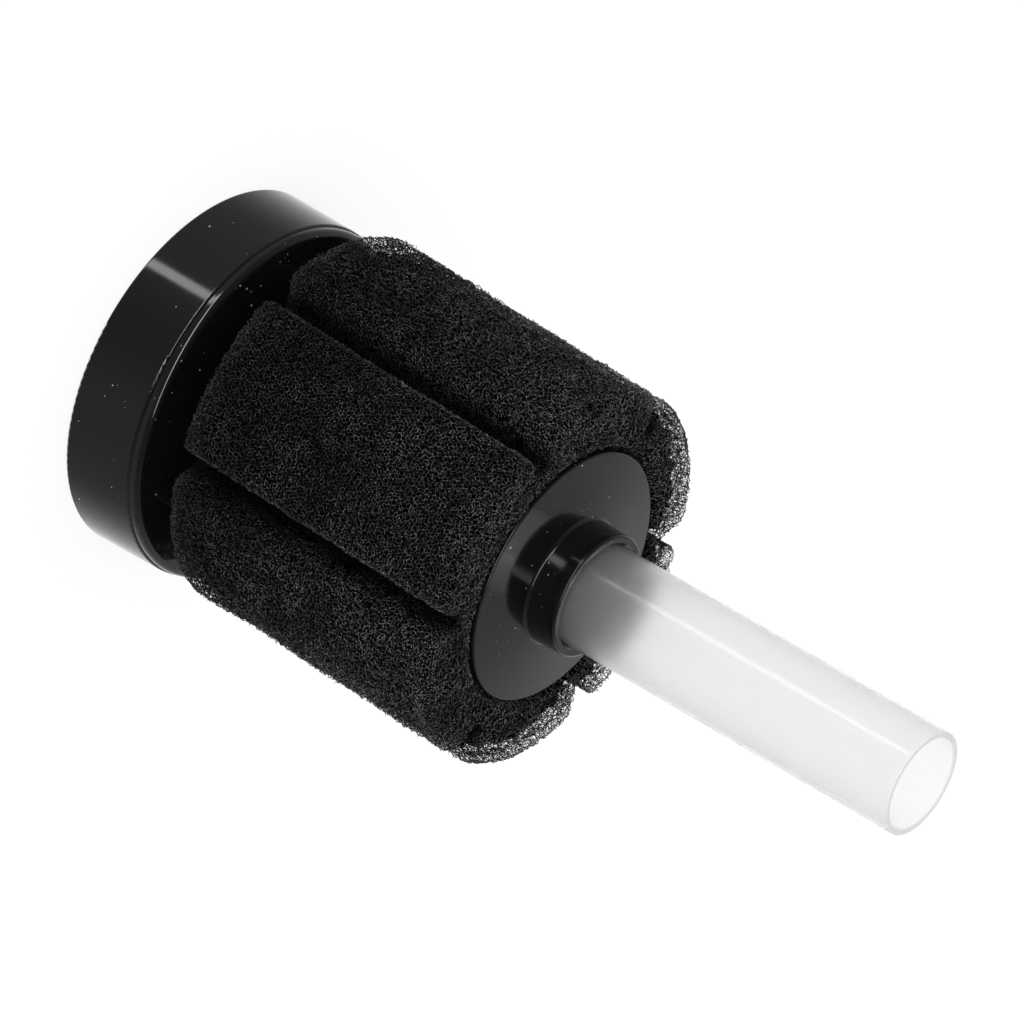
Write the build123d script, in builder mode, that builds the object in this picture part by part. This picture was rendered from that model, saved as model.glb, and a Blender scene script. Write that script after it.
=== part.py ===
"""Sponge filter for an aquarium: weighted base, slotted core inside a fluted sponge, and clear riser tube.

Millimetres, +Z up. The origin is the centre of the base's underside, and every piece is round about Z.
Air blown in at the nozzle rises up the core and the riser tube, and draws water in through the sponge.
"""

import os

from build123d import *

# Gaps between pieces
plug_gap = 0.05  # radial, where one piece plugs into another by hand
soft_gap = 0.3  # around the sponge, so that it never presses on its neighbours
loose_gap = 0.5  # where two pieces only have to miss each other

# Weighted base: a drum that is closed by a lid with a rounded edge
base_radius = 35.6
base_taper = 0.3  # radius lost between the underside and the seam
cup_height = 14.9
cup_wall = 2.0
cup_floor = 2.0
foot_width = 4.0  # flat ring that the base stands on
foot_recess = 0.8
foot_edge = 0.5
seam_edge = 0.5
lid_thickness = 2.0
lid_step = 0.35  # the lid is this much smaller than the drum at the seam
lid_edge = 1.3
skirt_depth = 3.0
skirt_wall = 1.5
ballast_bore = 12.0
ballast_edge = 0.8

# Riser tube
tube_radius = 10.0
tube_wall = 1.1
tube_length = 85.3
tube_edge = 0.15

# End flanges: a disc with a collar, one above the sponge and one below it
flange_radius = 24.5
rim_thickness = 1.5
rim_edge = 0.4
cone_rise = 1.5  # the disc's face climbs this much from its rim to the collar
collar_wall = 2.15  # at the collar's root, beside the tube's socket
collar_taper = 0.25
collar_height = 6.4
collar_root = 0.6
collar_edge = 0.4
mouth_chamfer = 0.6
socket_depth = 13.0
ledge_width = 0.75
ledge_thickness = 1.6
lead_in = 0.4

# Slotted core
core_wall = 1.4
core_spigot_wall = 1.6  # wall of the flange's spigot, which plugs into the core
core_length = 58.7
slot_columns = 10
slot_rows = 5
slot_width = 2.6
slot_bridge = 2.6  # solid band between two rows

# Sponge
sponge_radius = 36.9
sponge_overhang = 1.9  # the foam swells this far past the flanges' backs, round their rims
groove_count = 6
groove_width = 5.2
groove_depth = 6.2
groove_lip = 1.8

# Air nozzle, in the top of the base's post
post_wall = 1.8
nozzle_rim_thickness = 1.0
nozzle_rim_overlap = 1.2
nozzle_plug_depth = 3.0
stem_radius = 2.0
stem_bore = 1.1
stem_height = 16.0
barb_count = 3
barb_height = 2.4
barb_depth = 0.55
bubble_holes = 8
bubble_radius = 0.7

# Heights and radii that follow from the sizes above
seam_radius = base_radius - base_taper
base_height = cup_height + lid_thickness
socket_radius = tube_radius + plug_gap
collar_radius = socket_radius + collar_wall
waterway_radius = socket_radius - ledge_width
spigot_radius = socket_radius + core_spigot_wall
flange_height = rim_thickness + cone_rise + collar_height
spigot_length = socket_depth + ledge_thickness - flange_height
core_inner = spigot_radius + plug_gap
core_radius = core_inner + core_wall
lower_back = base_height + flange_height
upper_back = lower_back + core_length
tube_foot = upper_back + flange_height - socket_depth
post_radius = tube_radius
post_top = base_height + socket_depth - nozzle_rim_thickness - loose_gap
post_inner = post_radius - post_wall

TOUCH = 0.01


def circles_at(part, radius, height):
    """The part's circular edges of this radius at this height."""
    rings = part.edges().filter_by(GeomType.CIRCLE)
    return [
        ring
        for ring in rings
        if abs(ring.radius - radius) < TOUCH and abs(ring.arc_center.Z - height) < TOUCH
    ]


def save(part, label):
    """Name a finished piece and write its own file."""
    part.label = label
    export_step(part, f"parts/{label}.step")


def make_base_cup():
    """The drum of the base, open at the top, on a flat ring foot."""
    cavity_radius = seam_radius - cup_wall
    with BuildPart() as cup:
        with BuildSketch(Plane.XZ):
            with BuildLine():
                Polyline(
                    (0, foot_recess),
                    (base_radius - foot_width, foot_recess),
                    (base_radius - foot_width, 0),
                    (base_radius, 0),
                    (seam_radius, cup_height),
                    (cavity_radius, cup_height),
                    (cavity_radius, foot_recess + cup_floor),
                    (0, foot_recess + cup_floor),
                    close=True,
                )
            make_face()
        revolve(axis=Axis.Z)
        fillet(circles_at(cup, base_radius, 0), foot_edge)
        fillet(circles_at(cup, seam_radius, cup_height), seam_edge)
    return cup.part


def make_base_lid():
    """The lid of the base, with a skirt inside the drum and the hollow post for the lower flange."""
    lid_radius = seam_radius - lid_step
    skirt_radius = seam_radius - cup_wall - plug_gap
    with BuildPart() as lid:
        with BuildSketch(Plane.XZ):
            with BuildLine():
                Polyline(
                    (0, cup_height),
                    (skirt_radius - skirt_wall, cup_height),
                    (skirt_radius - skirt_wall, cup_height - skirt_depth),
                    (skirt_radius, cup_height - skirt_depth),
                    (skirt_radius, cup_height),
                    (lid_radius, cup_height),
                    (lid_radius, base_height),
                    (post_radius, base_height),
                    (post_radius, post_top),
                    (post_inner, post_top),
                    (post_inner, base_height),
                    (0, base_height),
                    close=True,
                )
            make_face()
        revolve(axis=Axis.Z)
        fillet(circles_at(lid, lid_radius, base_height), min(lid_edge, 0.9 * lid_thickness))
        chamfer(circles_at(lid, post_radius, post_top), lead_in)
    return lid.part


def make_ballast():
    """The heavy ring that lies in the drum, under the lid's skirt."""
    floor = foot_recess + cup_floor
    top = cup_height - skirt_depth - loose_gap
    outer = seam_radius - cup_wall - loose_gap
    with BuildPart() as ballast:
        with BuildSketch(Plane.XY.offset(floor)):
            Circle(outer)
            Circle(ballast_bore, mode=Mode.SUBTRACT)
        extrude(amount=top - floor)
        chamfer(circles_at(ballast, outer, top), ballast_edge)
    return ballast.part


def make_air_nozzle():
    """The airline nipple on its plug: air goes down the stem and comes up through a ring of small holes."""
    rim_top = post_top + nozzle_rim_thickness
    barb_pitch = barb_height + 0.8
    stem_top = post_top + stem_height
    with BuildPart() as nozzle:
        with BuildSketch(Plane.XY.offset(post_top)):
            Circle(post_inner + nozzle_rim_overlap)
        extrude(amount=nozzle_rim_thickness)
        with BuildSketch(Plane.XY.offset(post_top)):
            Circle(post_inner - plug_gap)
        extrude(amount=-nozzle_plug_depth)
        with BuildSketch(Plane.XY.offset(rim_top)):
            Circle(stem_radius)
        extrude(amount=stem_height - nozzle_rim_thickness)
        for barb in range(barb_count):
            barb_foot = stem_top - barb_height - barb * barb_pitch
            with BuildSketch(Plane.XZ):
                with BuildLine():
                    Polyline(
                        (0, barb_foot),
                        (stem_radius + barb_depth, barb_foot),
                        (stem_radius, barb_foot + barb_height),
                        (0, barb_foot + barb_height),
                        close=True,
                    )
                make_face()
            revolve(axis=Axis.Z)
        with BuildSketch(Plane.XY.offset(post_top - nozzle_plug_depth)):
            Circle(stem_bore)
            with PolarLocations((stem_radius + post_inner) / 2, bubble_holes):
                Circle(bubble_radius)
        extrude(amount=nozzle_plug_depth + stem_height, mode=Mode.SUBTRACT)
    return nozzle.part


def make_flange(back, facing):
    """An end flange: its back face at height back, its collar pointing up (facing 1) or down (-1)."""
    root = rim_thickness + cone_rise
    profile_plane = Plane(origin=(0, 0, back), x_dir=(1, 0, 0), z_dir=(0, -facing, 0))
    with BuildPart() as flange:
        with BuildSketch(profile_plane):
            with BuildLine():
                Polyline(
                    (waterway_radius, -spigot_length),
                    (spigot_radius, -spigot_length),
                    (spigot_radius, 0),
                    (flange_radius, 0),
                    (flange_radius, rim_thickness),
                    (collar_radius, root),
                    (collar_radius - collar_taper, flange_height),
                    (socket_radius, flange_height),
                    (socket_radius, flange_height - socket_depth),
                    (waterway_radius, flange_height - socket_depth),
                    close=True,
                )
            make_face()
        revolve(axis=Axis.Z)
        fillet(circles_at(flange, collar_radius, back + facing * root), collar_root)
        fillet(circles_at(flange, flange_radius, back + facing * rim_thickness), rim_edge)
        collar_end = back + facing * flange_height
        fillet(circles_at(flange, collar_radius - collar_taper, collar_end), collar_edge)
        chamfer(circles_at(flange, socket_radius, collar_end), mouth_chamfer)
        chamfer(circles_at(flange, spigot_radius, back - facing * spigot_length), lead_in)
    return flange.part


def make_strainer_core():
    """The tube that holds the sponge, with rows of slots that let the water through."""
    row_pitch = (core_length - 2 * spigot_length) / slot_rows
    slot_height = row_pitch - slot_bridge
    slot_reach = 4 * core_wall
    with BuildPart() as core:
        with BuildSketch(Plane.XY.offset(lower_back)):
            Circle(core_radius)
            Circle(core_inner, mode=Mode.SUBTRACT)
        extrude(amount=core_length)
        for row in range(slot_rows):
            slot_middle = lower_back + spigot_length + (row + 0.5) * row_pitch
            with PolarLocations(0, slot_columns):
                with Locations((core_radius, 0, slot_middle)):
                    Box(slot_reach, slot_width, slot_height, mode=Mode.SUBTRACT)
    return core.part


def make_sponge():
    """The foam sleeve: grooved outside, close round the core, with a hollow at each end for a flange."""
    with BuildPart() as sponge:
        with BuildSketch(Plane.XY.offset(lower_back - sponge_overhang)) as outline:
            Circle(sponge_radius)
            with PolarLocations(sponge_radius, groove_count):
                SlotOverall(2 * groove_depth, groove_width, mode=Mode.SUBTRACT)
            lips = [
                corner
                for corner in outline.vertices()
                if Vector(corner.X, corner.Y, 0).length > sponge_radius - TOUCH
            ]
            fillet(lips, groove_lip)
            Circle(core_radius + soft_gap, mode=Mode.SUBTRACT)
        extrude(amount=core_length + 2 * sponge_overhang)
        recess_depth = sponge_overhang + soft_gap
        with BuildSketch(Plane.XY.offset(lower_back - sponge_overhang)):
            Circle(flange_radius + soft_gap)
        extrude(amount=recess_depth, mode=Mode.SUBTRACT)
        with BuildSketch(Plane.XY.offset(upper_back + sponge_overhang)):
            Circle(flange_radius + soft_gap)
        extrude(amount=-recess_depth, mode=Mode.SUBTRACT)
    return sponge.part


def make_riser_tube():
    """The clear tube that stands in the upper flange's socket."""
    tube_inner = tube_radius - tube_wall
    tube_top = tube_foot + tube_length
    with BuildPart() as tube:
        with BuildSketch(Plane.XY.offset(tube_foot)):
            Circle(tube_radius)
            Circle(tube_inner, mode=Mode.SUBTRACT)
        extrude(amount=tube_length)
        for end in (tube_foot, tube_top):
            chamfer(circles_at(tube, tube_radius, end), tube_edge)
            chamfer(circles_at(tube, tube_inner, end), tube_edge)
    return tube.part


os.makedirs("parts", exist_ok=True)
save(make_base_cup(), "base_cup")
save(make_base_lid(), "base_lid")
save(make_ballast(), "ballast")
save(make_air_nozzle(), "air_nozzle")
save(make_flange(lower_back, -1), "lower_flange")
save(make_flange(upper_back, 1), "upper_flange")
save(make_strainer_core(), "strainer_core")
save(make_sponge(), "sponge")
save(make_riser_tube(), "riser_tube")
print(f"height {tube_foot + tube_length:.1f}, base {2 * base_radius:.1f} across")
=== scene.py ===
import math

import bpy
import numpy as np
from mathutils import Matrix, Vector, noise
from mathutils.geometry import delaunay_2d_cdt
from mathutils.kdtree import KDTree


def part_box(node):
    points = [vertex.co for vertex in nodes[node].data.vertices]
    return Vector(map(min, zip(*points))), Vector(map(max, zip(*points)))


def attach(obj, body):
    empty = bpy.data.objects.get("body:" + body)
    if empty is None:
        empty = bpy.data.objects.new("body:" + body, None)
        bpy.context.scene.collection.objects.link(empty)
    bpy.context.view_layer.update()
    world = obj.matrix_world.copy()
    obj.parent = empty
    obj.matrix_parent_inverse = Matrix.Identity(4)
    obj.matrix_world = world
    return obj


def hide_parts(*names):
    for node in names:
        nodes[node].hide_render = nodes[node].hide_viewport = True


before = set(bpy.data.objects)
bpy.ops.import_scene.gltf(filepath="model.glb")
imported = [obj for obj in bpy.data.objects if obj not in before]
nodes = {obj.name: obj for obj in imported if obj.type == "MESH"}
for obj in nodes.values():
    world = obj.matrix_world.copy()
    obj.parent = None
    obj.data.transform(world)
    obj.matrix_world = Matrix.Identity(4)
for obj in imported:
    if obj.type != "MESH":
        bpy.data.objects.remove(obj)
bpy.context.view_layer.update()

MM = 0.001

# ---------------------------------------------------------------- sizes

SPONGE_LOW, SPONGE_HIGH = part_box("sponge")
SPONGE_MIDDLE = (SPONGE_LOW.z + SPONGE_HIGH.z) / 2
SPONGE_HALF = (SPONGE_HIGH.z - SPONGE_LOW.z) / 2
SPONGE_RADIUS = SPONGE_HIGH.y
CORE_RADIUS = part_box("strainer_core")[1].x
BORE_RADIUS = CORE_RADIUS + 0.3 * MM

GROOVES = 6
GROOVE_DEPTH = 6.2 * MM
GROOVE_HALF_WIDTH = 2.6 * MM
RIM_ROUND = 1.8 * MM
HEART_CORNER = 3.2 * MM
LEAN_LOW, LEAN_HIGH = -1.5 * MM, 0.7 * MM  # how far the sponge's two ends stand off along X
LEAN_START, LEAN_FULL = 26 * MM, 32 * MM  # the foam inside the first radius keeps its place
SWELL = 0.4  # in millimetres
HOLLOW_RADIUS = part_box("upper_flange")[1].x + 0.45 * MM
HOLLOW_LIP = 1.1 * MM
HOLLOW_DEPTH = 2.3 * MM  # each flange's disc is sunk this far in the foam
HOLLOW_FADE = 4 * MM

PORE = 0.75 * MM
DEEP_PORE = 1.75 * PORE
NET_INSET, DEEP_INSET, HEART_INSET = 0.1 * MM, 1.1 * MM, 2.7 * MM
NET_RELIEF, DEEP_RELIEF = 0.7 * MM, 0.8 * MM
NET_STRUT, DEEP_STRUT, THREAD_STRUT = 0.14 * MM, 0.16 * MM, 0.13 * MM
NET_SEED, DEEP_SEED, THREAD_SEED, HEART_SEED = 3, 5, 17, 11

CROSSING_SHARE = 0.2  # of the first layer's corners, those with a strut down to the next layer
BROKEN_SHARE = 0.14  # of the first layer's corners, those with a broken strut standing out
BROKEN_LENGTHS = 0.2, 0.5  # in millimetres

# painted light and shade for the foam's colour and gloss: painted shade in the grooves, painted light rising
# towards the upper end
GROOVE_DARK, GROOVE_LIT = 1.2 * MM, 3.4 * MM  # from a groove's middle
GROOVE_LIGHT = 0.15
LOW_END_LIGHT, HIGH_END_LIGHT = 0.5, 1.2

HEART_AROUND, HEART_UP = 420, 70
HEART_FACE_ROWS, HEART_BORE_ROWS = 8, 12
HEART_RAGGED_FACE, HEART_RAGGED_WALL = 0.15, 0.85  # in millimetres
HEART_RAGGED_LIMIT = 1.6

TUBE_TINT = (0.905, 0.905, 0.905)
TUBE_WALL = 1.1 * MM
TUBE_EDGE = 0.15 * MM
SEAT_GAP = 0.05 * MM
TUBE_HAZE = 0.05
TUBE_ROUGHNESS, TUBE_GLOSS = 0.36, 0.18
ACRYLIC_INDEX = 1.49
TUBE_BEND = 1.1  # lower than acrylic's own index, which only the coat has
SAWN_FACE = 0.2 * MM

DUST = 0.42


# ---------------------------------------------------------------- foam

def outline(angle):
    """Radius of the foam's outside at an angle: round, with soft-lipped grooves at even steps from +X."""
    step = 2 * math.pi / GROOVES
    off = (angle + step / 2) % step - step / 2
    across = np.abs(off) * SPONGE_RADIUS
    groove = np.exp(-((across / GROOVE_HALF_WIDTH) ** 3))
    return SPONGE_RADIUS - GROOVE_DEPTH * groove


class FoamSkin:
    """One layer of the sponge's outside, inset from its surface: places on its wall and on its end faces."""

    OUTLINE_POINTS = 7201

    def __init__(self, inset, corner=RIM_ROUND):
        self.inset = inset
        self.low = SPONGE_LOW.z + inset
        self.high = SPONGE_HIGH.z - inset
        self.round = corner
        fine = np.linspace(0, 2 * math.pi, self.OUTLINE_POINTS)
        radius = outline(fine) - inset
        x, y = radius * np.cos(fine), radius * np.sin(fine)
        along = np.concatenate([[0], np.cumsum(np.hypot(np.diff(x), np.diff(y)))])
        self.fine, self.along = fine, along
        self.girth = along[-1]
        self.corner = self.round * math.pi / 2
        self.length = self.high - self.low - 2 * self.round + 2 * self.corner

    def wall(self, along, up):
        """Points of the wall, where up goes from the lower face round both rims to the upper face."""
        angle = np.interp(along, self.along, self.fine)
        near_low = np.clip((self.corner - up) / self.round, 0, math.pi / 2)
        near_high = np.clip((up - self.length + self.corner) / self.round, 0, math.pi / 2)
        turn = near_low + near_high
        radius = outline(angle) - self.inset - self.round * (1 - np.cos(turn))
        straight = np.clip(up, self.corner, self.length - self.corner) - self.corner
        z = self.low + self.round + straight + self.round * (np.sin(near_high) - np.sin(near_low))
        return np.stack([radius * np.cos(angle), radius * np.sin(angle), z], 1)

    def ring_radius(self, angle):
        """Where the wall ends on an end face."""
        return outline(angle) - self.inset - self.round


def jittered(width, height, pitch, rng):
    """Points of a hexagonal grid, each moved a little, inside a rectangle and clear of its edges."""
    row_step, stray, margin = 0.866, 0.36, 0.3  # in pitches
    columns = max(1, round(width / pitch))
    rows = max(2, round(height / (pitch * row_step)))
    points = []
    for row in range(1, rows):
        x = (np.arange(columns) + 0.25 + 0.5 * (row % 2)) * width / columns
        points.append(np.stack([x, np.full(columns, row * height / rows)], 1))
    points = np.concatenate(points)
    points += rng.uniform(-stray, stray, points.shape) * pitch
    inside = (points[:, 0] > margin * pitch) & (points[:, 0] < width - margin * pitch)
    inside &= (points[:, 1] > margin * pitch) & (points[:, 1] < height - margin * pitch)
    return points[inside]


def stepped(length, pitch, rng):
    """Values from 0 to just under length, about a pitch apart."""
    count = max(3, round(length / pitch))
    values = np.arange(count) * length / count
    values[1:] += rng.uniform(-0.25, 0.25, count - 1) * pitch
    return values


def triangulate(points, edges=()):
    """Delaunay triangles of flat points, as rows of three indices, anticlockwise."""
    scale = 1 / PORE
    flat = [Vector((float(x) * scale, float(y) * scale)) for x, y in points]
    out = delaunay_2d_cdt(flat, list(edges), [], 0, 1e-6)
    origin = [group[0] if group else -1 for group in out[3]]
    triangles = np.array([[origin[corner] for corner in face] for face in out[2]])
    return triangles[(triangles >= 0).all(1)]


def reach_and_bearing(points):
    """How far points are from the axis, and their angles round it."""
    reach = np.hypot(points[:, 0], points[:, 1])
    return reach, np.arctan2(points[:, 1], points[:, 0]) % (2 * math.pi)


def foam_seeds(skin, pitch, rng):
    """The middles of the foam's cells over a skin, and the triangles between them."""
    low_ring = stepped(skin.girth, pitch, rng)
    high_ring = stepped(skin.girth, pitch, rng)
    seam = stepped(skin.length, pitch, rng)[1:]
    field = jittered(skin.girth, skin.length, pitch, rng)
    points = [
        skin.wall(low_ring, np.zeros(len(low_ring))),
        skin.wall(high_ring, np.full(len(high_ring), skin.length)),
        skin.wall(np.zeros(len(seam)), seam),
        skin.wall(field[:, 0], field[:, 1]),
    ]
    starts = np.cumsum([0] + [len(p) for p in points])
    # the wall is rolled out flat, with its seam at both sides
    flat, owner = [], []

    def lay(along, up, first):
        flat.append(np.stack([along, up], 1))
        owner.append(first + np.arange(len(along)))

    lay(low_ring, np.zeros(len(low_ring)), starts[0])
    lay(np.array([skin.girth]), np.zeros(1), starts[0])
    lay(high_ring, np.full(len(high_ring), skin.length), starts[1])
    lay(np.array([skin.girth]), np.array([skin.length]), starts[1])
    lay(np.zeros(len(seam)), seam, starts[2])
    lay(np.full(len(seam), skin.girth), seam, starts[2])
    lay(field[:, 0], field[:, 1], starts[3])
    owner = np.concatenate(owner)
    triangles = [owner[triangulate(np.concatenate(flat))]]
    # each end face is flat already
    bore = BORE_RADIUS + 0.5 * pitch
    clear = 0.45 * pitch
    size = 2 * SPONGE_RADIUS
    total = starts[4]
    for end, height in enumerate((skin.low, skin.high)):
        edge = points[end][:, :2]
        middle = jittered(size, size, pitch, rng) - SPONGE_RADIUS
        reach, bearing = reach_and_bearing(middle)
        middle = middle[(reach < skin.ring_radius(bearing) - clear) & (reach > bore + clear)]
        hole_angle = stepped(2 * math.pi, pitch / bore, rng)
        hole = bore * np.stack([np.cos(hole_angle), np.sin(hole_angle)], 1)
        here = np.concatenate([edge, middle, hole])
        added = total + np.arange(len(middle) + len(hole))
        owners = np.concatenate([starts[end] + np.arange(len(edge)), added])
        loops = []
        for first, count in ((0, len(edge)), (len(edge) + len(middle), len(hole))):
            loops += [(first + i, first + (i + 1) % count) for i in range(count)]
        found = triangulate(here, loops)
        reach, bearing = reach_and_bearing(here[found].mean(1))
        found = found[(reach < skin.ring_radius(bearing)) & (reach > bore * 0.995)]
        if height == skin.low:
            found = found[:, ::-1]
        triangles.append(owners[found])
        new = np.concatenate([middle, hole])
        points.append(np.concatenate([new, np.full((len(new), 1), height)], 1))
        total += len(new)
    return np.concatenate(points), np.concatenate(triangles)


def cell_walls(points, triangles):
    """The cells round the seeds: corners at the middles of the triangles, and one polygon for each seed."""
    most_sides = 20
    corners = points[triangles].mean(1)
    count = len(points)
    seed = triangles.ravel()
    following = np.roll(triangles, -1, axis=1).ravel()
    previous = np.roll(triangles, 1, axis=1).ravel()
    keys = seed * count + following
    order = np.argsort(keys)
    wanted = np.searchsorted(keys[order], seed * count + previous)
    wanted = np.minimum(wanted, len(keys) - 1)
    turn = order[wanted]
    closed = keys[turn] == seed * count + previous
    turn = np.where(closed, turn, -1).tolist()
    first = {}
    for corner, owner in enumerate(seed.tolist()):
        first.setdefault(owner, corner)
    polygons = []
    for start in first.values():
        loop, corner = [], start
        while True:
            loop.append(corner // 3)
            corner = turn[corner]
            if corner < 0 or corner == start or len(loop) > most_sides:
                break
        if corner == start and len(loop) > 2:
            polygons.append(loop)
    return corners, polygons


def near_end(points, depth, fade):
    """0 deep in the sponge's length, rising to 1 near its end faces."""
    return np.clip((np.abs(points[:, 2] - SPONGE_MIDDLE) - SPONGE_HALF + depth) / fade, 0, 1)


def outward(points):
    """A rough direction out of the foam: sideways on the wall, and up or down on the end faces."""
    radial = points.copy()
    radial[:, 2] = 0
    radial /= np.linalg.norm(radial, axis=1)[:, None]
    end = near_end(points, 2 * RIM_ROUND, RIM_ROUND)[:, None]
    way = radial * (1 - end) + np.array([0, 0, 1.0]) * np.sign(points[:, 2:3] - SPONGE_MIDDLE) * end
    return way / np.linalg.norm(way, axis=1)[:, None]


def smooth_step(value):
    value = np.clip(value, 0, 1)
    return value * value * (3 - 2 * value)


def settle(points):
    """The sponge's own unevenness: swells, the lean of its axis, and the hollow at each end for a flange."""
    swell = np.array([noise.noise(Vector(p) * 90) for p in points])
    swell += 0.5 * np.array([noise.noise(Vector(p) * 260 + Vector((7, 3, 5))) for p in points])
    reach = np.hypot(points[:, 0], points[:, 1])
    sunk = smooth_step(1 - (reach - HOLLOW_RADIUS) / HOLLOW_LIP)
    moved = points + outward(points) * (swell * (1 - sunk))[:, None] * SWELL * MM
    rise = (points[:, 2] - SPONGE_LOW.z) / (SPONGE_HIGH.z - SPONGE_LOW.z)
    share = smooth_step((reach - LEAN_START) / (LEAN_FULL - LEAN_START))
    moved[:, 0] += (LEAN_LOW + (LEAN_HIGH - LEAN_LOW) * rise) * share
    depth = HOLLOW_DEPTH * sunk * near_end(points, HOLLOW_FADE, HOLLOW_FADE)
    moved[:, 2] -= np.sign(points[:, 2] - SPONGE_MIDDLE) * depth
    return moved


def foam_layer(inset, pitch, relief, seed):
    """Corners and cell polygons of one layer of open foam cells, each corner at its own depth."""
    rng = np.random.default_rng(seed)
    skin = FoamSkin(inset)
    points, triangles = foam_seeds(skin, pitch, rng)
    corners, polygons = cell_walls(points, triangles)
    corners = corners + rng.normal(0, 0.13, corners.shape) * pitch
    depth = rng.uniform(-0.8, 0.25, (len(corners), 1)) * relief
    return settle(corners + outward(corners) * depth), polygons


def new_piece(name, points, faces):
    mesh = bpy.data.meshes.new(name)
    mesh.from_pydata(points.tolist(), [], faces)
    piece = bpy.data.objects.new(name, mesh)
    bpy.context.scene.collection.objects.link(piece)
    return piece


def foam_net(name, layer, strut):
    """Struts all round every pore of a layer."""
    net = new_piece(name, *layer)
    net.data.validate()
    wire = net.modifiers.new("struts", "WIREFRAME")
    wire.thickness = strut
    wire.use_even_offset = False
    wire.use_boundary = True
    wire.use_replace = True
    apply_modifiers(net)
    shade_smooth(net)
    return net


def nearest(points, targets):
    """For each point, the nearest of the targets."""
    tree = KDTree(len(targets))
    for index, target in enumerate(targets):
        tree.insert(target, index)
    tree.balance()
    return np.array([tree.find(point)[0] for point in points])


def needles(starts, ends, thick, thin):
    """Three-sided struts from starts to ends: points and outward faces."""
    along = ends - starts
    along /= np.linalg.norm(along, axis=1)[:, None]
    helper = np.where(np.abs(along[:, 2:3]) < 0.9, [[0.0, 0.0, 1.0]], [[1.0, 0.0, 0.0]])
    side = np.cross(along, helper)
    side /= np.linalg.norm(side, axis=1)[:, None]
    other = np.cross(along, side)
    rings = []
    for base, radius in ((starts, thick), (ends, thin)):
        for turn in (0, 2 * math.pi / 3, 4 * math.pi / 3):
            rings.append(base + radius * (math.cos(turn) * side + math.sin(turn) * other))
    points = np.stack(rings, 1).reshape(-1, 3)
    faces = []
    for first in range(0, len(points), 6):
        a, b, c, d, e, f = range(first, first + 6)
        faces += [(a, b, e, d), (b, c, f, e), (c, a, d, f), (c, b, a), (d, e, f)]
    return points, faces


def foam_threads(name, layers, strut, seed):
    """Struts between the layers, and short broken ones that stand out of the first layer."""
    rng = np.random.default_rng(seed)
    outer, deep = layers[0][0], layers[1][0]
    starts = outer[rng.random(len(outer)) < CROSSING_SHARE]
    points, faces = needles(starts, nearest(starts, deep), strut / 2, strut / 2)
    clear = np.hypot(outer[:, 0], outer[:, 1]) > HOLLOW_RADIUS + HOLLOW_LIP
    roots = outer[clear & (rng.random(len(outer)) < BROKEN_SHARE)]
    way = outward(roots) + rng.normal(0, 0.5, roots.shape)
    way /= np.linalg.norm(way, axis=1)[:, None]
    tips = roots + way * rng.uniform(*BROKEN_LENGTHS, (len(roots), 1)) * MM
    more_points, more_faces = needles(roots, tips, strut / 2, strut / 5)
    offset = len(points)
    faces += [tuple(corner + offset for corner in face) for face in more_faces]
    return new_piece(name, np.concatenate([points, more_points]), faces)


def apply_modifiers(piece):
    bpy.context.view_layer.objects.active = piece
    for modifier in list(piece.modifiers):
        bpy.ops.object.modifier_apply(modifier=modifier.name)


def face_outwards(piece):
    bpy.ops.object.select_all(action="DESELECT")
    piece.select_set(True)
    bpy.context.view_layer.objects.active = piece
    bpy.ops.object.mode_set(mode="EDIT")
    bpy.ops.mesh.select_all(action="SELECT")
    bpy.ops.mesh.remove_doubles(threshold=1e-7)
    bpy.ops.mesh.normals_make_consistent(inside=False)
    bpy.ops.object.mode_set(mode="OBJECT")


def shade_smooth(piece):
    piece.data.polygons.foreach_set("use_smooth", [True] * len(piece.data.polygons))


def face_row(skin, angle, share, height):
    """One ring of points on an end face, from the bore (share 0) to the rim (share 1)."""
    radius = BORE_RADIUS + (skin.ring_radius(angle) - BORE_RADIUS) * share
    return np.stack([radius * np.cos(angle), radius * np.sin(angle), np.full(len(angle), height)], 1)


def foam_shade_heart():
    """A near black shell inside the sponge, under the open layers, standing in for the shade deep in the
    foam: ragged outside, smooth in its bore.
    """
    around = HEART_AROUND
    skin = FoamSkin(HEART_INSET, HEART_CORNER)
    along = np.linspace(0, skin.girth, around, endpoint=False)
    angle = np.interp(along, skin.along, skin.fine)
    rows, ragged = [], []
    for share in np.linspace(0, 1, HEART_FACE_ROWS, endpoint=False):
        rows.append(face_row(skin, angle, share, skin.low))
        ragged.append(HEART_RAGGED_FACE if share else 0.0)
    for level in np.linspace(0, skin.length, HEART_UP):
        rows.append(skin.wall(along, np.full(around, level)))
        ragged.append(HEART_RAGGED_WALL)
    for share in np.linspace(1, 0, HEART_FACE_ROWS, endpoint=False):
        rows.append(face_row(skin, angle, share, skin.high))
        ragged.append(HEART_RAGGED_FACE)
    for level in np.linspace(skin.high, skin.low, HEART_BORE_ROWS)[:-1]:
        rows.append(face_row(skin, angle, 0.0, level))
        ragged.append(0.0)
    count = len(rows)
    rng = np.random.default_rng(HEART_SEED)
    points = settle(np.concatenate(rows))
    stray = np.clip(rng.normal(0, 1, points.shape), -HEART_RAGGED_LIMIT, HEART_RAGGED_LIMIT)
    points += stray * np.repeat(ragged, around)[:, None] * MM
    faces = []
    for row in range(count):
        for column in range(around):
            a = row * around + column
            b = row * around + (column + 1) % around
            c = (row + 1) % count * around + (column + 1) % around
            d = (row + 1) % count * around + column
            faces.append((a, b, c, d))
    heart = new_piece("sponge_shade_heart", points, faces)
    shade_smooth(heart)
    return heart


# ---------------------------------------------------------------- shader graphs

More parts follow.
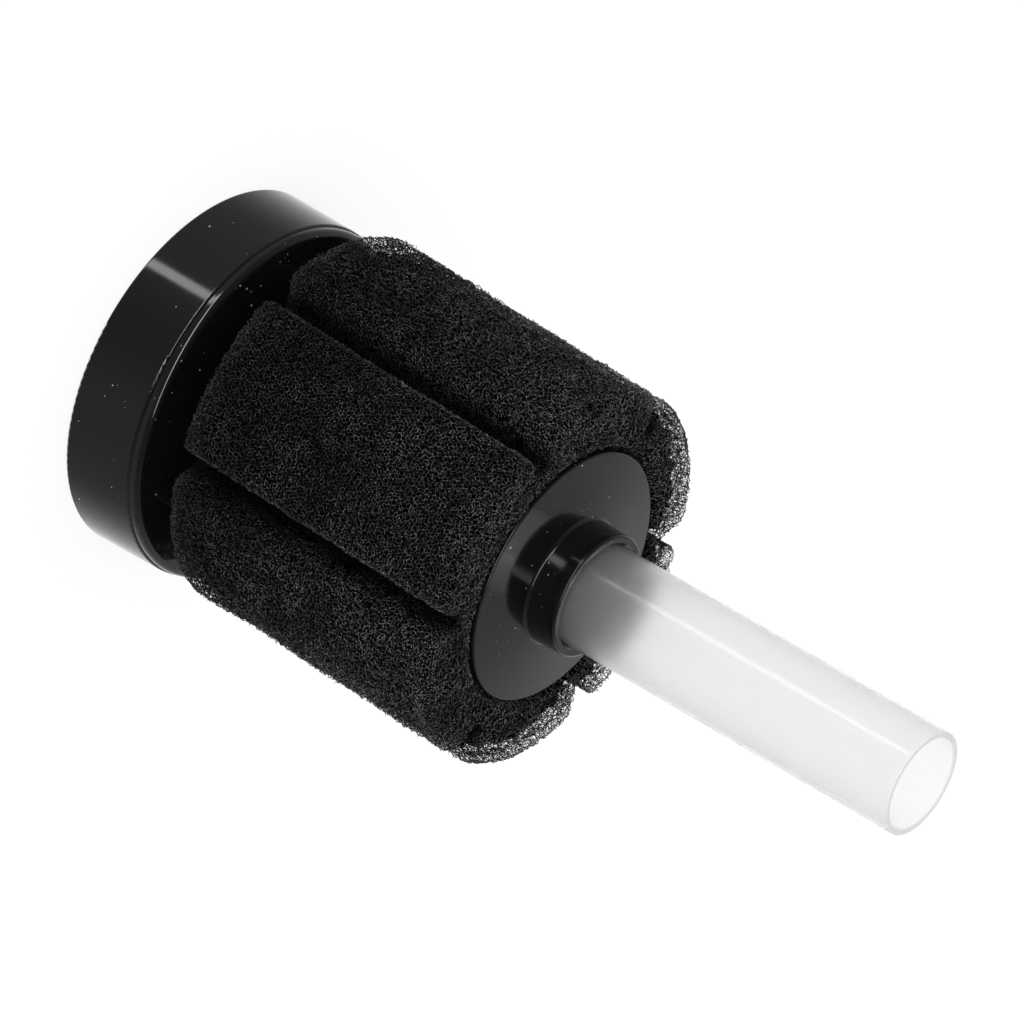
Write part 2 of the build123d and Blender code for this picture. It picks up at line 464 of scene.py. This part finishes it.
class Graph:
    """Short ways to add nodes to one node tree; every method gives back an output socket."""

    def __init__(self, tree):
        self.tree = tree

    def node(self, kind, **settings):
        node = self.tree.nodes.new(kind)
        for name, value in settings.items():
            setattr(node, name, value)
        return node

    def feed(self, socket, value):
        if isinstance(value, bpy.types.NodeSocket):
            self.tree.links.new(value, socket)
        else:
            socket.default_value = value

    def math(self, operation, *values):
        node = self.node("ShaderNodeMath", operation=operation)
        for socket, value in zip(node.inputs, values):
            self.feed(socket, value)
        return node.outputs[0]

    def ramp(self, value, low, high, start=0.0, end=1.0):
        """Eases from start to end while value goes from low to high."""
        node = self.node("ShaderNodeMapRange", interpolation_type="SMOOTHSTEP")
        for name, setting in (
            ("Value", value),
            ("From Min", low),
            ("From Max", high),
            ("To Min", start),
            ("To Max", end),
        ):
            self.feed(node.inputs[name], setting)
        return node.outputs[0]

    def place(self):
        return self.node("ShaderNodeTexCoord").outputs["Object"]

    def noise(self, place, scale, detail=2.0):
        node = self.node("ShaderNodeTexNoise")
        self.feed(node.inputs["Vector"], place)
        node.inputs["Scale"].default_value = scale
        node.inputs["Detail"].default_value = detail
        return node.outputs[0]

    def blend(self, share, first, second):
        node = self.node("ShaderNodeMix", data_type="RGBA")
        self.feed(node.inputs[0], share)
        self.feed(node.inputs[6], (*first, 1) if isinstance(first, tuple) else first)
        self.feed(node.inputs[7], (*second, 1) if isinstance(second, tuple) else second)
        return node.outputs[2]

    def bump(self, shader, height, distance, strength):
        node = self.node("ShaderNodeBump")
        node.inputs["Distance"].default_value = distance
        node.inputs["Strength"].default_value = strength
        self.feed(node.inputs["Height"], height)
        self.feed(shader.inputs["Normal"], node.outputs[0])

    def specks(self, place, scale, size, share):
        """Small round spots at random places: about this share of the cells holds one."""
        soft_edge = 0.012
        node = self.node("ShaderNodeTexVoronoi")
        self.feed(node.inputs["Vector"], place)
        node.inputs["Scale"].default_value = scale
        split = self.node("ShaderNodeSeparateColor")
        self.feed(split.inputs[0], node.outputs["Color"])
        spot = self.math("MULTIPLY", split.outputs[1], size)
        inside = self.ramp(self.math("SUBTRACT", spot, node.outputs["Distance"]), 0.0, soft_edge)
        chosen = self.math("LESS_THAN", split.outputs[0], share)
        return self.math("MULTIPLY", inside, chosen)


def grey(level):
    """A grey with a trace of blue."""
    return (level, level, level * 1.03)


def principled(name, colour, roughness):
    material = bpy.data.materials.new(name)
    material.use_nodes = True
    shader = material.node_tree.nodes["Principled BSDF"]
    shader.inputs["Base Color"].default_value = (*colour, 1)
    shader.inputs["Roughness"].default_value = roughness
    return material, shader


def moulded(name, level, roughness, dust):
    """Black moulded plastic: a faint uneven sheen and a few specks of dust."""
    material, shader = principled(name, grey(level), roughness)
    graph = Graph(material.node_tree)
    place = graph.place()
    sheen = graph.noise(place, 45, 3)
    graph.feed(shader.inputs["Roughness"], graph.ramp(sheen, 0.35, 0.7, roughness * 0.8, roughness * 1.3))
    coarse = graph.specks(place, 480, 0.11, dust)
    fine = graph.specks(place, 1100, 0.16, dust * 0.35)
    patch = graph.ramp(graph.noise(place, 70, 1), 0.38, 0.6)
    mask = graph.math("MULTIPLY", graph.math("MAXIMUM", coarse, fine), patch)
    graph.feed(shader.inputs["Base Color"], graph.blend(mask, grey(level), grey(DUST)))
    graph.bump(shader, graph.noise(place, 160, 2), 0.02 * MM, 0.25)
    return material


def foam_painted_light(graph, place):
    """Painted light for a strut: most on the lobes' upper ends, less lower down, and painted shade, little
    light, in the grooves.
    """
    split = graph.node("ShaderNodeSeparateXYZ")
    graph.feed(split.inputs[0], place)
    x, y, z = split.outputs
    slope = (LEAN_HIGH - LEAN_LOW) / (SPONGE_HIGH.z - SPONGE_LOW.z)
    lean = graph.math("MULTIPLY_ADD", z, slope, LEAN_LOW - slope * SPONGE_LOW.z)
    x = graph.math("SUBTRACT", x, lean)
    step = 2 * math.pi / GROOVES
    turns = graph.math("MULTIPLY_ADD", graph.math("ARCTAN2", y, x), 1 / step, GROOVES + 0.5)
    off = graph.math("ABSOLUTE", graph.math("SUBTRACT", graph.math("FRACT", turns), 0.5))
    across = graph.math("MULTIPLY", off, step * SPONGE_RADIUS)
    lobe = graph.ramp(across, GROOVE_DARK, GROOVE_LIT, GROOVE_LIGHT, 1.0)
    squares = graph.math("ADD", graph.math("MULTIPLY", x, x), graph.math("MULTIPLY", y, y))
    reach = graph.math("SQRT", squares)
    face = graph.ramp(reach, SPONGE_RADIUS - 9 * MM, SPONGE_RADIUS - 6 * MM, 1.0, 0.0)
    height = graph.ramp(z, SPONGE_LOW.z, SPONGE_HIGH.z, LOW_END_LIGHT, HIGH_END_LIGHT)
    return graph.math("MULTIPLY", graph.math("MAXIMUM", lobe, face), height)


def foam_strut(name, dark, painted_lit_grey, roughness, specular):
    """The foam's struts: painted highlights in short stretches along near black ones, painted light and shade
    in colour and gloss, with a fine uneven skin.
    """
    material, shader = principled(name, grey(dark), roughness)
    graph = Graph(material.node_tree)
    place = graph.place()
    light = foam_painted_light(graph, place)
    # painted glints: a fine noise picks short stretches of strut to paint bright
    painted_glint = graph.ramp(graph.noise(place, 2900, 1), 0.5, 0.6)
    patch = graph.ramp(graph.noise(place, 130, 3), 0.3, 0.72, 0.45, 1.25)
    painted_light_share = graph.math("MULTIPLY", graph.math("MULTIPLY", painted_glint, patch), light)
    graph.feed(shader.inputs["Base Color"], graph.blend(painted_light_share, grey(dark), grey(painted_lit_grey)))
    # the gloss follows the painted light and shade, dimmer in the grooves and lower down
    graph.feed(shader.inputs["Specular IOR Level"], graph.math("MULTIPLY", light, specular))
    graph.bump(shader, graph.noise(place, 5500, 2), 0.05 * MM, 0.8)
    return material


def foam_shadow():
    """Dull near black for the inside of the foam."""
    material, shader = principled("foam_shadow", (0.003, 0.003, 0.003), 0.9)
    shader.inputs["Specular IOR Level"].default_value = 0.0
    return material


def clear_acrylic(name, top):
    """Clear acrylic with a slight haze, and a sawn face at the upper end."""
    material, shader = principled(name, TUBE_TINT, TUBE_ROUGHNESS)
    shader.inputs["IOR"].default_value = TUBE_BEND
    shader.inputs["Coat Weight"].default_value = 1.0
    shader.inputs["Coat IOR"].default_value = ACRYLIC_INDEX
    graph = Graph(material.node_tree)
    split = graph.node("ShaderNodeSeparateXYZ")
    graph.feed(split.inputs[0], graph.place())
    sawn = graph.math("GREATER_THAN", split.outputs[2], top - SAWN_FACE)
    graph.feed(shader.inputs["Roughness"], graph.ramp(sawn, 0, 1, TUBE_ROUGHNESS, 0.5))
    graph.feed(shader.inputs["Coat Roughness"], graph.ramp(sawn, 0, 1, TUBE_GLOSS, 0.6))
    graph.feed(shader.inputs["Transmission Weight"], graph.ramp(sawn, 0, 1, 1 - TUBE_HAZE, 0.1))
    graph.feed(shader.inputs["Base Color"], graph.blend(sawn, TUBE_TINT, grey(0.62)))
    return material


def clear_tube():
    """The riser tube, turned smooth, with its lower end just clear of its seat."""
    low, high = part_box("riser_tube")
    seat = low.z + SEAT_GAP
    bpy.ops.mesh.primitive_cylinder_add(
        vertices=256,
        radius=high.x,
        depth=high.z - seat,
        end_fill_type="NOTHING",
        location=(0, 0, (seat + high.z) / 2),
    )
    tube = bpy.context.object
    tube.name = "riser_tube_clear"
    bpy.ops.object.transform_apply(location=True)
    face_outwards(tube)
    wall = tube.modifiers.new("wall", "SOLIDIFY")
    wall.thickness = TUBE_WALL
    wall.offset = -1
    edges = tube.modifiers.new("edges", "BEVEL")
    edges.width = TUBE_EDGE
    edges.segments = 2
    apply_modifiers(tube)
    face_outwards(tube)
    bpy.ops.object.shade_smooth_by_angle(angle=math.radians(12))
    tube.data.materials.append(clear_acrylic("clear_acrylic", high.z))
    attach(tube, "riser")
    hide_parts("riser_tube")


def finish_node(node, material):
    for slot in nodes[node].material_slots:
        slot.material = material


finish_node("base_cup", moulded("drum_plastic", 0.004, 0.10, 0.2))
finish_node("base_lid", moulded("lid_plastic", 0.004, 0.09, 0.4))
for node in ("upper_flange", "lower_flange"):
    finish_node(node, moulded(node + "_plastic", 0.004, 0.12, 0.45))
finish_node("strainer_core", moulded("core_plastic", 0.010, 0.3, 0.0))
finish_node("air_nozzle", moulded("nozzle_plastic", 0.010, 0.25, 0.0))
clear_tube()
finish_node("ballast", principled("ballast_stone", (0.4, 0.38, 0.35), 0.9)[0])

layers = [
    foam_layer(NET_INSET, PORE, NET_RELIEF, NET_SEED),
    foam_layer(DEEP_INSET, DEEP_PORE, DEEP_RELIEF, DEEP_SEED),
]
net = foam_net("sponge_net", layers[0], NET_STRUT)
face_paint = foam_strut("foam_face", 0.004, 0.165, 0.33, 0.35)
deep_net = foam_net("sponge_net_deep", layers[1], DEEP_STRUT)
# a darker, less glossy copy of the strut paint: painted shade for the layer lying deeper in the foam
deep_shaded_paint = foam_strut("foam_deep_shaded", 0.003, 0.016, 0.4, 0.08)
threads = foam_threads("sponge_threads", layers, THREAD_STRUT, THREAD_SEED)
# a dimmer copy of the strut paint, as painted shade
thread_shaded_paint = foam_strut("foam_thread_shaded", 0.002, 0.07, 0.35, 0.2)
heart = foam_shade_heart()
foam_pieces = [
    (net, face_paint),
    (deep_net, deep_shaded_paint),
    (threads, thread_shaded_paint),
    (heart, foam_shadow()),
]
for piece, material in foam_pieces:
    piece.data.materials.append(material)
    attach(piece, "sponge_body")
    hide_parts("sponge")


# ---------------------------------------------------------------- studio

def camera():
    """The camera, rolled so that the filter lies aslant in the frame."""
    aim = Vector((-0.00548, 0, 0.07109))
    distance = 1.36157
    elevation, azimuth, roll = (math.radians(a) for a in (28.2136, -0.2616, -119.84))
    forward = Vector(
        (
            math.sin(azimuth) * math.cos(elevation),
            math.cos(azimuth) * math.cos(elevation),
            -math.sin(elevation),
        )
    )
    level_up = (Vector((0, 0, 1)) - forward.z * forward).normalized()
    up = math.cos(roll) * level_up + math.sin(roll) * forward.cross(level_up)
    right = forward.cross(up)
    data = bpy.data.cameras.new("camera")
    data.lens, data.sensor_width = 269.67, 36
    data.clip_start, data.clip_end = 0.05, 20
    eye = bpy.data.objects.new("camera", data)
    bpy.context.scene.collection.objects.link(eye)
    turn = Matrix((right, up, -forward)).transposed()
    eye.matrix_world = Matrix.Translation(aim - forward * distance) @ turn.to_4x4()
    bpy.context.scene.camera = eye


def pale_floor():
    """A near white floor that the filter's gloss doesn't show."""
    bpy.ops.mesh.primitive_plane_add(size=12)
    floor = bpy.context.object
    floor.name = "floor"
    paint, shader = principled("floor_paint", (0.25, 0.25, 0.25), 1.0)
    shader.inputs["Specular IOR Level"].default_value = 0.0
    shader.inputs["Emission Color"].default_value = (1, 1, 1, 1)
    shader.inputs["Emission Strength"].default_value = 0.76
    floor.data.materials.append(paint)
    floor.visible_glossy = False


def studio_dome():
    """A plain white room. Glossy parts reflect greys instead: dim in front, paler behind, a lamp low left."""
    world = bpy.data.worlds.new("studio")
    bpy.context.scene.world = world
    world.use_nodes = True
    world.cycles.sampling_method = "NONE"
    graph = Graph(world.node_tree)
    split = graph.node("ShaderNodeSeparateXYZ")
    graph.feed(split.inputs[0], graph.node("ShaderNodeTexCoord").outputs["Generated"])
    x, y, z = split.outputs
    bearing = graph.math("ARCTAN2", x, graph.math("MULTIPLY", y, -1.0))
    rise = graph.math("ARCSINE", z)
    away = graph.math("ABSOLUTE", bearing)
    degrees = math.radians
    low = graph.math(
        "ADD",
        graph.ramp(away, degrees(8), degrees(42), 0.18, 0.30),
        graph.ramp(away, degrees(100), degrees(165), 0.0, 0.75),
    )
    high = graph.math(
        "MULTIPLY",
        graph.ramp(away, degrees(60), degrees(170), 0.12, 0.55),
        graph.ramp(rise, degrees(5), degrees(45), 1.2, 0.75),
    )
    level = graph.ramp(rise, degrees(-12), degrees(4), 0.0, 1.0)
    room = graph.math(
        "ADD",
        graph.math("MULTIPLY", low, graph.math("SUBTRACT", 1.0, level)),
        graph.math("MULTIPLY", high, level),
    )
    aside = graph.math("ABSOLUTE", graph.math("ADD", bearing, degrees(39)))
    above = graph.math("ABSOLUTE", graph.math("ADD", rise, degrees(32)))
    lamp = graph.math(
        "MULTIPLY",
        graph.ramp(aside, degrees(1.8), degrees(4), 5.0, 0.0),
        graph.ramp(above, degrees(16), degrees(18), 1.0, 0.0),
    )
    reflected = graph.math("ADD", room, lamp)
    path = graph.node("ShaderNodeLightPath")
    plain = graph.math("MAXIMUM", path.outputs["Is Camera Ray"], path.outputs["Is Diffuse Ray"])
    plain = graph.math("MAXIMUM", plain, path.outputs["Is Transmission Ray"])
    strength = graph.math(
        "ADD",
        graph.math("MULTIPLY", reflected, graph.math("SUBTRACT", 1.0, plain)),
        plain,
    )
    background = world.node_tree.nodes["Background"]
    background.inputs["Color"].default_value = (1, 1, 1, 1)
    graph.feed(background.inputs["Strength"], strength)


def strip_light(bearing, rise, tilt, distance, size, radiance):
    """A long lamp that faces the filter from a bearing (0 is the -Y side, positive to +X) and a height."""
    bearing, rise = math.radians(bearing), math.radians(rise)
    way = Vector(
        (math.cos(rise) * math.sin(bearing), -math.cos(rise) * math.cos(bearing), math.sin(rise))
    )
    data = bpy.data.lights.new("strip", "AREA")
    data.shape = "RECTANGLE"
    data.size, data.size_y = size
    data.energy = radiance * math.pi * size[0] * size[1]
    light = bpy.data.objects.new("strip", data)
    turn = (-way).to_track_quat("-Z", "Y").to_matrix() @ Matrix.Rotation(math.radians(tilt), 3, "Z")
    middle = Vector((0, 0, 60 * MM))
    light.matrix_world = Matrix.Translation(middle + way * distance) @ turn.to_4x4()
    bpy.context.scene.collection.objects.link(light)


camera()
pale_floor()
studio_dome()
strip_light(bearing=-8, rise=20, tilt=45, distance=1.5, size=(3.6, 0.24), radiance=9.0)
bpy.context.scene.view_settings.view_transform = "Standard"
